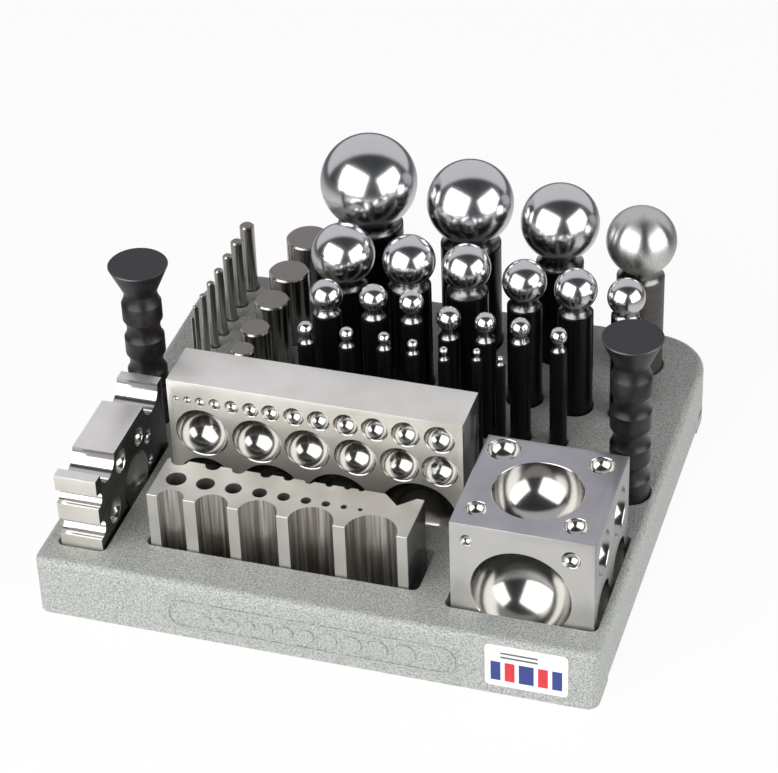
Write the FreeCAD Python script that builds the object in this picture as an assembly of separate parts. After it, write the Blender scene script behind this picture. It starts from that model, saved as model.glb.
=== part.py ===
import FreeCAD, Part
import math
import os

# Dapping block and punch set: a cast base with a loose tool standing in every socket and pocket.
# Millimetres, +Z up, X along the front edge, +Y towards the back. The origin is the middle of the
# base's footprint, on the surface that the feet stand on.

Vector = FreeCAD.Vector
UP = Vector(0, 0, 1)
ALONG_X = Vector(1, 0, 0)
ALONG_Y = Vector(0, 1, 0)

# Base casting
base_length = 284.0
base_depth = 265.0
base_height = 33.5
front_corner_radius = 6.0
back_corner_radius = 30.0
top_edge_radius = 3.5
seat_depth = 19.0
rim_width = 9.0
recess_height = 8.5
rib_width = 7.0
side_gap_height = 3.0
front_foot_length = 22.0
back_foot_length = 40.0
lifting_slot_length = 9.0
lifting_slot_height = 3.0
lifting_slot_depth = 3.0
seat_z = base_height - seat_depth

# The casting is one piece of iron, written as eight solids that touch face to face. The planes
# between them miss every socket and pocket, so each solid is a bar, a plate, or a frame round
# one pocket.
front_wall_y = rim_width - base_depth / 2
socket_plate_y = -22.4
grooved_seat_y = -67.0
swage_seat_x = -103.0
cube_seat_x = 60.2

# Cast ornament on the front face: a raised frame with a row of growing discs inside it
ornament_center_x = 0.0
ornament_z = 14.5
ornament_length = 146.0
ornament_height = 17.0
ornament_border = 1.4
ornament_rise = 0.7
disc_count = 11
disc_first_diameter = 3.0
disc_growth = 0.8
disc_gap = 3.0

# Label stuck on the front face
label_length = 40.5
label_height = 25.0
label_thickness = 0.3
label_corner_radius = 2.5
label_center_x = 107.8
label_center_z = 17.9

# Grooved forming block: round grooves down the front, holes through the middle, notches at the
# back. Stations are measured from the block's left end.
grooved_size = (132.0, 30.0, 50.0)
grooved_center = (-23.1, -92.3)
groove_diameters = (13.4, 16.4, 19.5, 22.6, 25.8)
groove_stations = (12.2, 33.3, 56.8, 83.7, 113.9)
hole_diameters = (10.3, 9.3, 8.3, 7.3, 6.3, 5.2, 4.2, 3.2, 2.4)
hole_stations = (10.0, 25.2, 39.6, 53.1, 65.4, 76.7, 86.8, 95.9, 104.2)
hole_setback = 15.0
notch_diameters = (9.0, 8.0, 7.0, 6.0, 5.0, 4.5, 4.0, 3.5, 3.0)
notch_stations = (6.6, 23.8, 37.2, 51.4, 62.8, 73.5, 83.9, 93.1, 100.1)
vee_station = 120.3
vee_width = 16.2
vee_depth = 7.6

# Dapping block: three rows of round cavities on its front face
dapping_size = (152.0, 28.5, 81.8)
dapping_center = (-19.6, -42.25)
dapping_edge_bevel = 0.35
small_row_diameters = (3.0, 4.0, 5.0, 6.0, 7.0, 8.0, 9.0, 10.0, 11.0, 12.0, 13.0, 14.0, 15.0)
small_row_stations = (4.7, 10.6, 17.3, 24.9, 33.8, 43.6, 54.0, 66.0, 78.8, 92.7, 107.4, 123.1, 140.2)
small_row_height = 71.2
middle_row_diameters = (27.0, 25.0, 23.0, 21.0, 19.5, 18.0)
middle_row_stations = (17.1, 45.8, 72.1, 96.9, 119.6, 140.1)
middle_row_height = 52.2
large_row_diameters = (29.0, 33.0, 35.0, 40.0)
large_row_stations = (17.7, 51.8, 87.3, 128.4)
large_row_height = 21.9
cavity_depth_ratio = 0.46
cavity_bevel = 0.5
cavity_bevel_ratio = 0.04

# Dapping cube
cube_side = 70.0
cube_center = (100.8, -79.3)
cube_edge_bevel = 0.35

# Swage block: half-round grooves across its top and front edges, cavities in its right side
swage_size = (22.0, 90.0, 61.0)
swage_center = (-121.1, -73.2)
back_groove_radius = 10.0
back_groove_station = 73.7
front_groove_radius = 9.2
front_groove_station = 15.1
upper_nose_radius = 4.0
upper_nose_height = 48.2
lower_nose_radius = 4.7
lower_nose_height = 30.2
nose_setback = 1.6

# Flat-ended forming cylinders and rods
flat_tool_length = 60.0
cylinder_column_x = -79.1
cylinder_diameters = (24.5, 21.5, 18.6, 16.0, 12.8)
cylinder_rows = (115.2, 81.5, 53.5, 27.0, 7.3)
rod_columns = (-116.1, -116.1, -116.1, -116.1, -116.1, -116.1, -116.1, -114.1)
rod_diameters = (8.0, 6.8, 5.6, 5.0, 4.3, 3.5, 2.8, 1.8)
rod_rows = (118.7, 102.0, 87.5, 73.2, 60.6, 48.5, 37.5, 27.5)

# Ball punches. Each row: its place in Y, and for each punch the ball diameter, the shank diameter,
# its place in X, the height of the ball's lowest point above the top of the base, and the height
# of the cone between the shank and the ball.
punch_rows = (
    (101.5, ((51.0, 34.8, -38.9, 65.5, 5.0), (45.5, 32.0, 16.3, 63.7, 6.0),
             (41.0, 25.0, 64.5, 61.5, 6.8), (36.5, 25.0, 107.6, 59.3, 6.3))),
    (56.5, ((33.0, 24.0, -39.3, 57.5, 4.0), (27.5, 22.4, -3.9, 61.8, 3.2),
            (25.0, 22.0, 26.8, 64.0, 3.7), (23.0, 18.2, 57.3, 61.5, 4.6),
            (22.0, 18.2, 84.1, 61.5, 4.0), (19.5, 15.2, 110.2, 62.7, 2.8))),
    (23.5, ((17.0, 15.0, -38.1, 61.5, 2.8), (14.5, 13.0, -12.8, 65.5, 4.6),
            (13.0, 12.0, 7.2, 67.0, 4.8), (12.5, 11.2, 26.6, 60.8, 5.4),
            (11.0, 11.0, 45.6, 62.0, 5.2), (10.5, 10.6, 63.7, 62.5, 3.4),
            (9.0, 9.0, 83.5, 61.6, 4.4))),
    (-2.5, ((8.0, 9.0, -40.7, 62.5, 4.4), (7.3, 8.6, -19.0, 63.5, 3.9),
            (6.2, 8.0, 0.5, 65.0, 3.5), (5.5, 7.0, 15.3, 64.0, 2.8),
            (4.4, 6.0, 31.4, 63.5, 3.1), (3.9, 5.5, 48.4, 66.0, 2.7),
            (3.0, 5.0, 60.5, 64.5, 2.0))),
)
neck_ratio = 0.6
small_neck_ratio = 0.7
small_ball_diameter = 8.5
shank_edge = 0.6

# Black tools with a flared head and a grip of lands and waists. Heights are above the base's top.
flared_tool_columns = (("left", -126.7), ("right", 127.7))
flared_tool_y = -7.0
flared_head_radius = 15.3
flared_head_edge = 0.5
flared_tool_height = 94.2
flared_neck_height = 78.0
flared_neck_radius = 8.4
grip_land_tops = (71.5, 51.0, 30.8, 10.4)
grip_land_height = 9.5
grip_land_radius = 10.3
grip_waist_radius = 8.6

# Clearances
socket_clearance = 0.4
pocket_corner_radius = 3.5
socket_mouth_bevel = 0.6

os.makedirs("parts", exist_ok=True)


def save(shape, node):
    """Write one node, made of one clean solid, to its STEP file."""
    solid = shape.removeSplitter()
    if solid.ShapeType != "Solid":
        solid = solid.Solids[0] if len(solid.Solids) == 1 else solid
    if not solid.isValid() or len(solid.Solids) != 1:
        raise RuntimeError(node + " is not one valid solid")
    solid.exportStep("parts/" + node + ".step")
    box = solid.BoundBox
    print("%-26s %8.1f mm3  z %.1f to %.1f" % (node, solid.Volume, box.ZMin, box.ZMax))


def block(size, center, bottom):
    """A plain rectangular block standing on the height bottom."""
    corner = Vector(center[0] - size[0] / 2, center[1] - size[1] / 2, bottom)
    return Part.makeBox(size[0], size[1], size[2], corner)


def bevel_box(solid, size):
    """Break every straight outer edge of a block."""
    return solid.makeChamfer(size, solid.Edges)


def rounded_prism(x_low, x_high, y_low, y_high, z_low, z_high, front_radius, back_radius):
    """An upright prism on a rectangle whose front and back corners have their own radii."""
    corners = (
        (Vector(x_low, y_low, z_low), front_radius, (1, 1)),
        (Vector(x_high, y_low, z_low), front_radius, (-1, 1)),
        (Vector(x_high, y_high, z_low), back_radius, (-1, -1)),
        (Vector(x_low, y_high, z_low), back_radius, (1, -1)),
    )
    arcs = []
    for index, (corner, radius, inward) in enumerate(corners):
        along_x = corner + Vector(inward[0] * radius, 0, 0)
        along_y = corner + Vector(0, inward[1] * radius, 0)
        centre = corner + Vector(inward[0] * radius, inward[1] * radius, 0)
        to_corner = Vector(-inward[0], -inward[1], 0).normalize()
        middle = centre + to_corner * radius
        start, end = (along_y, along_x) if index % 2 == 0 else (along_x, along_y)
        arcs.append((start, middle, end))
    edges = []
    for index, (start, middle, end) in enumerate(arcs):
        edges.append(Part.Arc(start, middle, end).toShape())
        next_start = arcs[(index + 1) % len(arcs)][0]
        edges.append(Part.LineSegment(end, next_start).toShape())
    return Part.Face(Part.Wire(edges)).extrude(Vector(0, 0, z_high - z_low))


def turned(profile_edges):
    """Revolve a closed half profile, drawn in the XZ plane, about the Z axis."""
    face = Part.Face(Part.Wire(profile_edges))
    return face.revolve(Vector(0, 0, 0), UP, 360)


def line(start, end):
    """A straight profile edge between two (radius, height) points."""
    return Part.LineSegment(Vector(start[0], 0, start[1]), Vector(end[0], 0, end[1])).toShape()


def arc(start, middle, end):
    """A round profile edge through three (radius, height) points."""
    points = [Vector(point[0], 0, point[1]) for point in (start, middle, end)]
    return Part.Arc(*points).toShape()


def cavity(diameter, mouth, outward, depth):
    """The cutter of one round cavity: a ball cap, and a small bevel round its mouth."""
    mouth_radius = diameter / 2
    ball_radius = (mouth_radius ** 2 + depth ** 2) / (2 * depth)
    centre = mouth + outward * (ball_radius - depth)
    ball = Part.makeSphere(ball_radius, centre)
    bevel = min(cavity_bevel, diameter * cavity_bevel_ratio)
    cone = Part.makeCone(mouth_radius + 2 * bevel, mouth_radius, 2 * bevel,
                         mouth + outward * bevel, outward * -1)
    return ball.fuse(cone)


def upright_socket(x, y, radius):
    """The cutter of one blind socket with a bevelled mouth."""
    hole = Part.makeCylinder(radius, seat_depth + 1, Vector(x, y, seat_z))
    mouth = Part.makeCone(radius, radius + 2 * socket_mouth_bevel, 2 * socket_mouth_bevel,
                          Vector(x, y, base_height - socket_mouth_bevel))
    return hole.fuse(mouth)


def pocket(left, right, front, back):
    """The cutter of one pocket for a block, as far past the block on each side as given."""
    return rounded_prism(left, right, front, back, seat_z, base_height + 1,
                         pocket_corner_radius, pocket_corner_radius)


def upright_plate(length, height, thickness, radius, center_x, center_z):
    """A thin rounded plate standing on the front face, its back 1 mm inside that face."""
    plate = rounded_prism(-length / 2, length / 2, -height / 2, height / 2, 0,
                          thickness + 1, radius, radius)
    plate.rotate(Vector(0, 0, 0), ALONG_X, 90)
    plate.translate(Vector(center_x, 1 - base_depth / 2, center_z))
    return plate


def front_ornament():
    """A raised frame and a row of growing discs inside it, cast on the front face."""
    outer = upright_plate(ornament_length, ornament_height, ornament_rise,
                          ornament_height / 2 - 1, ornament_center_x, ornament_z)
    inner = upright_plate(ornament_length - 2 * ornament_border,
                          ornament_height - 2 * ornament_border, ornament_rise + 1,
                          ornament_height / 2 - 1 - ornament_border,
                          ornament_center_x, ornament_z)
    pieces = [outer.cut(inner)]
    diameters = [disc_first_diameter + disc_growth * index for index in range(disc_count)]
    row_length = sum(diameters) + disc_gap * (disc_count - 1)
    x = ornament_center_x - row_length / 2
    for diameter in diameters:
        centre = Vector(x + diameter / 2, 1 - base_depth / 2, ornament_z)
        pieces.append(Part.makeCylinder(diameter / 2, ornament_rise + 1, centre, ALONG_Y * -1))
        x += diameter + disc_gap
    return pieces


def base_casting(sockets, pockets):
    """The cast base: rounded slab, recess and ribs below, feet at the corners, seats on top."""
    half_x = base_length / 2
    half_y = base_depth / 2
    body = rounded_prism(-half_x, half_x, -half_y, half_y, 0, base_height,
                         front_corner_radius, back_corner_radius)
    top_edges = [edge for edge in body.Edges
                 if edge.BoundBox.ZMin > base_height - 0.01]
    body = body.makeFillet(top_edge_radius, top_edges)

    bay_length = (base_length - 2 * rim_width - 2 * rib_width) / 3
    recesses = []
    for index in range(3):
        low_x = -half_x + rim_width + index * (bay_length + rib_width)
        inner_front = front_corner_radius - rim_width / 2
        inner_back = inner_front if index == 1 else back_corner_radius - rim_width
        recesses.append(rounded_prism(low_x, low_x + bay_length, -half_y + rim_width,
                                      half_y - rim_width, -1, recess_height,
                                      inner_front, inner_back))
    gap_length = base_depth - front_foot_length - back_foot_length
    gap = Part.makeBox(base_length + 2, gap_length, side_gap_height + 1,
                       Vector(-half_x - 1, -half_y + front_foot_length, -1))
    slot = Part.makeBox(lifting_slot_depth + 1, lifting_slot_length, lifting_slot_height,
                        Vector(half_x - lifting_slot_depth, half_y - back_foot_length + 4,
                               side_gap_height + 3))
    body = body.cut(recesses + [gap, slot] + sockets + pockets)
    return body.fuse(front_ornament())


def casting_pieces(casting):
    """The casting cut into its eight touching solids, each with the name of its node."""
    far = base_length
    below = -1
    above = base_height + 1
    ranges = {
        "base_front_wall": ((-far, far), (-far, front_wall_y), (below, above)),
        "base_underframe": ((-far, far), (front_wall_y, far), (below, recess_height)),
        "base_floor": ((-far, far), (front_wall_y, far), (recess_height, seat_z)),
        "base_swage_seat": ((-far, swage_seat_x), (front_wall_y, socket_plate_y), (seat_z, above)),
        "base_cube_seat": ((cube_seat_x, far), (front_wall_y, socket_plate_y), (seat_z, above)),
        "base_grooved_seat": ((swage_seat_x, cube_seat_x), (front_wall_y, grooved_seat_y),
                              (seat_z, above)),
        "base_dapping_seat": ((swage_seat_x, cube_seat_x), (grooved_seat_y, socket_plate_y),
                              (seat_z, above)),
        "base_socket_plate": ((-far, far), (socket_plate_y, far), (seat_z, above)),
    }
    pieces = []
    for node, ((x_low, x_high), (y_low, y_high), (z_low, z_high)) in ranges.items():
        room = Part.makeBox(x_high - x_low, y_high - y_low, z_high - z_low,
                            Vector(x_low, y_low, z_low))
        pieces.append((node, casting.common(room)))
    return pieces


def front_label():
    """The thin rounded label stuck on the front face."""
    label = upright_plate(label_length, label_height, label_thickness, label_corner_radius,
                          label_center_x, label_center_z)
    wall = Part.makeBox(base_length, base_depth, base_height,
                        Vector(-base_length / 2, -base_depth / 2, 0))
    return label.cut(wall)


def grooved_block():
    """The steel forming block with its grooves, holes, notches and one vee."""
    length, width, height = grooved_size
    left = grooved_center[0] - length / 2
    front = grooved_center[1] - width / 2
    back = front + width
    body = bevel_box(block(grooved_size, grooved_center, seat_z), 0.2)
    low = seat_z - 1
    tall = height + 2
    cutters = []
    for diameter, station in zip(groove_diameters, groove_stations):
        cutters.append(Part.makeCylinder(diameter / 2, tall, Vector(left + station, front, low)))
    for diameter, station in zip(hole_diameters, hole_stations):
        place = Vector(left + station, front + hole_setback, low)
        cutters.append(Part.makeCylinder(diameter / 2, tall, place))
    for diameter, station in zip(notch_diameters, notch_stations):
        cutters.append(Part.makeCylinder(diameter / 2, tall, Vector(left + station, back, low)))
    vee = Part.makePolygon([Vector(left + vee_station - vee_width / 2, back + 0.01, low),
                            Vector(left + vee_station + vee_width / 2, back + 0.01, low),
                            Vector(left + vee_station, back - vee_depth, low),
                            Vector(left + vee_station - vee_width / 2, back + 0.01, low)])
    cutters.append(Part.Face(vee).extrude(UP * tall))
    return body.cut(cutters)


def dapping_block():
    """The flat dapping block, standing on edge, with three rows of cavities in its front."""
    length, width, height = dapping_size
    left = dapping_center[0] - length / 2
    front = dapping_center[1] - width / 2
    body = bevel_box(block(dapping_size, dapping_center, seat_z), dapping_edge_bevel)
    rows = ((small_row_diameters, small_row_stations, small_row_height),
            (middle_row_diameters, middle_row_stations, middle_row_height),
            (large_row_diameters, large_row_stations, large_row_height))
    for diameters, stations, row_height in rows:
        for diameter, station in zip(diameters, stations):
            mouth = Vector(left + station, front, seat_z + row_height)
            depth = diameter * cavity_depth_ratio
            body = body.cut(cavity(diameter, mouth, ALONG_Y * -1, depth))
    return body


def dapping_cube():
    """The dapping cube, with cavities of other sizes on each of its five open faces."""
    half = cube_side / 2
    middle = Vector(cube_center[0], cube_center[1], seat_z + half)
    body = bevel_box(block((cube_side,) * 3, cube_center, seat_z), cube_edge_bevel)
    top = middle + UP * half
    front = middle - ALONG_Y * half
    right = middle + ALONG_X * half
    left = middle - ALONG_X * half
    back = middle + ALONG_Y * half
    cuts = [(43.6, top + Vector(-0.5, -2.0, 0), UP, 20.0),
            (16.0, top + Vector(-24.6, 25.2, 0), UP, 6.6),
            (12.4, top + Vector(23.9, 24.7, 0), UP, 5.2),
            (10.3, top + Vector(-25.1, -22.0, 0), UP, 4.4),
            (11.6, top + Vector(23.1, -23.2, 0), UP, 4.9),
            (48.8, front + Vector(-0.4, 0, -2.0), ALONG_Y * -1, 22.0),
            (6.0, front + Vector(-26.6, 0, 25.6), ALONG_Y * -1, 2.4),
            (9.2, front + Vector(23.8, 0, 24.2), ALONG_Y * -1, 3.8),
            (22.5, right + Vector(0, -16.0, 16.0), ALONG_X, 9.0),
            (24.0, right + Vector(0, 16.0, 16.0), ALONG_X, 9.6),
            (25.0, right + Vector(0, -16.0, -16.0), ALONG_X, 10.0),
            (26.0, right + Vector(0, 16.0, -16.0), ALONG_X, 10.4),
            (38.0, left, ALONG_X * -1, 15.0),
            (34.0, back, ALONG_Y, 14.0)]
    for across in (-1, 1):
        for height in (-1, 1):
            cuts.append((8.0, left + Vector(0, 26.0 * across, 26.0 * height), ALONG_X * -1, 3.0))
            cuts.append((10.0, back + Vector(25.0 * across, 0, 25.0 * height), ALONG_Y, 3.8))
    for diameter, mouth, outward, depth in cuts:
        body = body.cut(cavity(diameter, mouth, outward, depth))
    return body


def swage_block():
    """The swage block: half-round grooves over its top and nose, cavities in its right side."""
    width, length, height = swage_size
    left = swage_center[0] - width / 2
    right = left + width
    front = swage_center[1] - length / 2
    top = seat_z + height
    body = bevel_box(block(swage_size, swage_center, seat_z), 0.5)
    grooves = ((back_groove_radius, front + back_groove_station, top),
               (front_groove_radius, front + front_groove_station, top),
               (upper_nose_radius, front + nose_setback, seat_z + upper_nose_height),
               (lower_nose_radius, front + nose_setback, seat_z + lower_nose_height))
    cutters = []
    for radius, y, z in grooves:
        cutters.append(Part.makeCylinder(radius, width + 2, Vector(left - 1, y, z), ALONG_X))
    for radius, height_up in ((upper_nose_radius, upper_nose_height),
                              (lower_nose_radius, lower_nose_height)):
        mouth = Vector(left - 1, front - 1, seat_z + height_up - radius)
        cutters.append(Part.makeBox(width + 2, nose_setback + 1, 2 * radius, mouth))
    body = body.cut(cutters)
    cavities = ((30.0, 47.5, 26.9, 7.5), (10.0, 55.3, 48.9, 3.6), (8.0, 66.0, 41.0, 3.0),
                (12.0, 31.2, 51.0, 4.2), (6.0, 66.8, 26.2, 2.3), (13.0, 19.4, 29.3, 4.6))
    for diameter, station, up, depth in cavities:
        mouth = Vector(right, front + station, seat_z + up)
        body = body.cut(cavity(diameter, mouth, ALONG_X, depth))
    return body


def flat_tool(diameter, x, y):
    """A flat-ended forming cylinder or rod with bevelled ends."""
    radius = diameter / 2
    edge = min(0.8, radius * 0.3)
    bottom = seat_z
    top = seat_z + flat_tool_length
    points = [(0, bottom), (radius - edge, bottom), (radius, bottom + edge), (radius, top - edge),
              (radius - edge, top), (0, top)]
    edges = [line(start, end) for start, end in zip(points, points[1:] + points[:1])]
    tool = turned(edges)
    tool.translate(Vector(x, y, 0))
    return tool


def ball_punch(ball_diameter, shank_diameter, x, y, ball_low, cone_height):
    """A punch turned in one piece: shank, cone and neck, and the polished ball."""
    ball = ball_diameter / 2
    shank = shank_diameter / 2
    ratio = small_neck_ratio if ball_diameter < small_ball_diameter else neck_ratio
    neck = min(ball * ratio, shank - 1.5 * shank_edge)
    centre_z = base_height + ball_low + ball
    contact_z = centre_z - math.sqrt(ball ** 2 - neck ** 2)
    shank_z = contact_z - cone_height
    points = [(0, seat_z), (shank - shank_edge, seat_z), (shank, seat_z + shank_edge),
              (shank, shank_z - shank_edge), (shank - shank_edge, shank_z), (neck, contact_z)]
    edges = [line(start, end) for start, end in zip(points, points[1:])]
    edges.append(arc((neck, contact_z), (ball, centre_z), (0, centre_z + ball)))
    edges.append(line((0, centre_z + ball), (0, seat_z)))
    punch = turned(edges)
    punch.translate(Vector(x, y, 0))
    return punch


def flared_tool(x):
    """A black tool: flared striking head, neck, and a grip of lands parted by round waists."""
    head_z = base_height + flared_tool_height
    neck_z = base_height + flared_neck_height
    edge = flared_head_edge
    land_tops = [base_height + height for height in grip_land_tops]
    foot_edge = (grip_land_radius, seat_z + 1)
    edges = [line((0, seat_z), (grip_land_radius - 1, seat_z)),
             line((grip_land_radius - 1, seat_z), foot_edge),
             line(foot_edge, (grip_land_radius, land_tops[-1]))]
    for lower_top, upper_top in zip(land_tops[::-1], land_tops[-2::-1]):
        land_bottom = upper_top - grip_land_height
        waist = (grip_waist_radius, (lower_top + land_bottom) / 2)
        edges.append(arc((grip_land_radius, lower_top), waist, (grip_land_radius, land_bottom)))
        edges.append(line((grip_land_radius, land_bottom), (grip_land_radius, upper_top)))
    shoulder = (flared_neck_radius + 0.3, (land_tops[0] + 2 * neck_z) / 3)
    neck = (flared_neck_radius, neck_z)
    edges.append(arc((grip_land_radius, land_tops[0]), shoulder, neck))
    head_edge = (flared_head_radius, head_z - edge)
    edges.append(line(neck, head_edge))
    edges.append(line(head_edge, (flared_head_radius - edge, head_z)))
    edges.append(line((flared_head_radius - edge, head_z), (0, head_z)))
    edges.append(line((0, head_z), (0, seat_z)))
    tool = turned(edges)
    tool.translate(Vector(x, flared_tool_y, 0))
    return tool


def size_name(diameter):
    """A diameter as it stands in a node's name, such as 14_5mm."""
    text = "%g" % diameter
    return text.replace(".", "_") + "mm"


sockets = []
for diameter, row in zip(cylinder_diameters, cylinder_rows):
    sockets.append(upright_socket(cylinder_column_x, row, diameter / 2 + socket_clearance))
    save(flat_tool(diameter, cylinder_column_x, row), "forming_cylinder_" + size_name(diameter))
for diameter, column, row in zip(rod_diameters, rod_columns, rod_rows):
    sockets.append(upright_socket(column, row, diameter / 2 + socket_clearance))
    save(flat_tool(diameter, column, row), "forming_rod_" + size_name(diameter))
for row_y, punches in punch_rows:
    for ball_diameter, shank_diameter, x, ball_low, cone_height in punches:
        sockets.append(upright_socket(x, row_y, shank_diameter / 2 + socket_clearance))
        save(ball_punch(ball_diameter, shank_diameter, x, row_y, ball_low, cone_height),
             "ball_punch_" + size_name(ball_diameter))
for side, x in flared_tool_columns:
    sockets.append(upright_socket(x, flared_tool_y, grip_land_radius + socket_clearance))
    save(flared_tool(x), "flared_tool_" + side)

grooved_left = grooved_center[0] - grooved_size[0] / 2
grooved_front = grooved_center[1] - grooved_size[1] / 2
dapping_left = dapping_center[0] - dapping_size[0] / 2
dapping_front = dapping_center[1] - dapping_size[1] / 2
cube_left = cube_center[0] - cube_side / 2
cube_front = cube_center[1] - cube_side / 2
swage_left = swage_center[0] - swage_size[0] / 2
swage_front = swage_center[1] - swage_size[1] / 2
pockets = [
    pocket(grooved_left - 2.8, grooved_left + grooved_size[0] + 4.8,
           grooved_front - 0.9, grooved_front + grooved_size[1] + 1.1),
    pocket(dapping_left - 1.4, dapping_left + dapping_size[0] + 1.5,
           dapping_front - 1.4, dapping_front + dapping_size[1] + 1.4),
    pocket(cube_left - 3.2, cube_left + cube_side + 1.7,
           cube_front - 1.2, cube_front + cube_side + 2.8),
    pocket(swage_left - 2.4, swage_left + swage_size[0] + 1.1,
           swage_front - 1.2, swage_front + swage_size[1] + 1.6),
]
casting = base_casting(sockets, pockets)
pieces = casting_pieces(casting)
for node, piece in pieces:
    save(piece, node)
print("casting %.1f mm3, its pieces %.1f mm3"
      % (casting.Volume, sum(piece.Volume for node, piece in pieces)))
save(front_label(), "front_label")
save(grooved_block(), "grooved_block")
save(dapping_block(), "dapping_block")
save(dapping_cube(), "dapping_cube")
save(swage_block(), "swage_block")
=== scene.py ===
import math

import bpy
from mathutils import Euler, Matrix, Vector


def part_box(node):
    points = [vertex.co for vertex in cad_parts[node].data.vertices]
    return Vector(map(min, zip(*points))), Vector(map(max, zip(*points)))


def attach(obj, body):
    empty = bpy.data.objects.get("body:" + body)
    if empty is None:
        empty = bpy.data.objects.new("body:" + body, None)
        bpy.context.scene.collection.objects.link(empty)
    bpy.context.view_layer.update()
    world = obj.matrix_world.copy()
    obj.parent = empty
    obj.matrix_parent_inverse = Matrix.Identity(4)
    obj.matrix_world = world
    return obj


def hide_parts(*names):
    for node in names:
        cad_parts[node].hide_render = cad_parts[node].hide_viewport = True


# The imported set: a cast base on the bench, and forty-three loose tools standing in it. Everything
# below is in metres, in the set's own frame: X along the front edge, Y to the back, Z up.
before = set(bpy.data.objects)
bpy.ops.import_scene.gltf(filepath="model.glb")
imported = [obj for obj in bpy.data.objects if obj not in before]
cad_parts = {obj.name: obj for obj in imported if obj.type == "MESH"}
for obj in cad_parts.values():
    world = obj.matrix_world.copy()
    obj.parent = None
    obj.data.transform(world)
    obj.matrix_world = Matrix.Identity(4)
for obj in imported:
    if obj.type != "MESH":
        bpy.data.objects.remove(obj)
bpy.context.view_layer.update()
MM = 0.001

# Camera. A long lens a little right of the front, looking down on the set from about a metre, with
# a slight roll, as the photograph was taken.
camera_azimuth = math.radians(18.28)
camera_elevation = math.radians(35.90)
camera_roll = math.radians(-2.17)
bpy.ops.object.camera_add(location=(0.3623, -1.0924, 0.9029))
camera = bpy.context.object
camera.data.sensor_width = 36.0
camera.data.lens = 130.26
level_view = Euler((math.pi / 2 - camera_elevation, 0, camera_azimuth)).to_matrix()
camera.rotation_euler = (level_view @ Matrix.Rotation(camera_roll, 3, "Z")).to_euler()
bpy.context.scene.camera = camera
bpy.context.scene.view_settings.view_transform = "Standard"

# Studio. A white bench top under the set, two large soft boxes standing on it left and right of the
# camera, which show as two bright windows in every ball, and a pale screen behind and above. The
# front of the room is dark, and in reflections the bench is a painted reflection that glows bright near
# the set and fades to dark further off, so polished steel gets dark bands.
bench_size = 6.0
bench_seen = 0.93
bench_mirrored = 0.9
glow_near = 0.24
glow_far = 0.60
bpy.ops.mesh.primitive_plane_add(size=bench_size, location=(0, 0, 0))
bench = bpy.context.object
bench.name = "bench_top"


def node_of(tree, kind, **settings):
    """Add one shader node and set its properties."""
    node = tree.nodes.new(kind)
    for name, value in settings.items():
        setattr(node, name, value)
    return node


def math_node(tree, operation, first, second, third=None):
    """Add a math node fed by sockets or by plain numbers, and give back its result."""
    node = node_of(tree, "ShaderNodeMath", operation=operation)
    for index, value in enumerate((first, second, third)):
        if isinstance(value, (int, float)):
            node.inputs[index].default_value = value
        elif value is not None:
            tree.links.new(value, node.inputs[index])
    return node.outputs[0]


bench_paint = bpy.data.materials.new("bench_white")
bench_paint.use_nodes = True
tree = bench_paint.node_tree
shader = tree.nodes["Principled BSDF"]
shader.inputs["Base Color"].default_value = (0.86, 0.86, 0.86, 1)
shader.inputs["Roughness"].default_value = 0.7
white = node_of(tree, "ShaderNodeEmission")
white.inputs["Color"].default_value = (1, 1, 1, 1)
blend = node_of(tree, "ShaderNodeMixShader")
seen = node_of(tree, "ShaderNodeLightPath")
from_set = node_of(tree, "ShaderNodeTexCoord")
reach = node_of(tree, "ShaderNodeVectorMath", operation="LENGTH")
tree.links.new(from_set.outputs["Object"], reach.inputs[0])
# For glossy rays the bench glows, bright near the set and fading to dark further off: a painted
# reflection.
fade = node_of(tree, "ShaderNodeMapRange")
fade.inputs["From Min"].default_value = glow_near
fade.inputs["From Max"].default_value = glow_far
fade.inputs["To Min"].default_value = 0.70
fade.inputs["To Max"].default_value = 0.08
tree.links.new(reach.outputs["Value"], fade.inputs["Value"])
glow = math_node(tree, "MAXIMUM", seen.outputs["Is Camera Ray"], fade.outputs["Result"])
tree.links.new(glow, white.inputs["Strength"])
straight = math_node(tree, "MULTIPLY", seen.outputs["Is Camera Ray"], bench_seen)
mirrored = math_node(tree, "MULTIPLY", seen.outputs["Is Glossy Ray"], bench_mirrored)
tree.links.new(math_node(tree, "MAXIMUM", straight, mirrored), blend.inputs[0])
tree.links.new(shader.outputs[0], blend.inputs[1])
tree.links.new(white.outputs[0], blend.inputs[2])
tree.links.new(blend.outputs[0], tree.nodes["Material Output"].inputs["Surface"])
bench.data.materials.append(bench_paint)

for box_name, azimuth, elevation, distance, width, height, power in (
    ("soft_box_left", -28, 28, 1.35, 1.75, 1.5, 28),
    ("soft_box_right", 76, 20, 1.35, 1.45, 1.15, 17),
):
    azimuth = math.radians(azimuth)
    elevation = math.radians(elevation)
    place = Vector((math.sin(azimuth) * math.cos(elevation),
                    -math.cos(azimuth) * math.cos(elevation), math.sin(elevation))) * distance
    bpy.ops.object.light_add(type="AREA", location=place)
    lamp = bpy.context.object
    lamp.name = box_name
    lamp.data.shape = "RECTANGLE"
    lamp.data.size = width
    lamp.data.size_y = height
    lamp.data.energy = power
    lamp.rotation_euler = place.to_track_quat("Z", "Y").to_euler()

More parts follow.
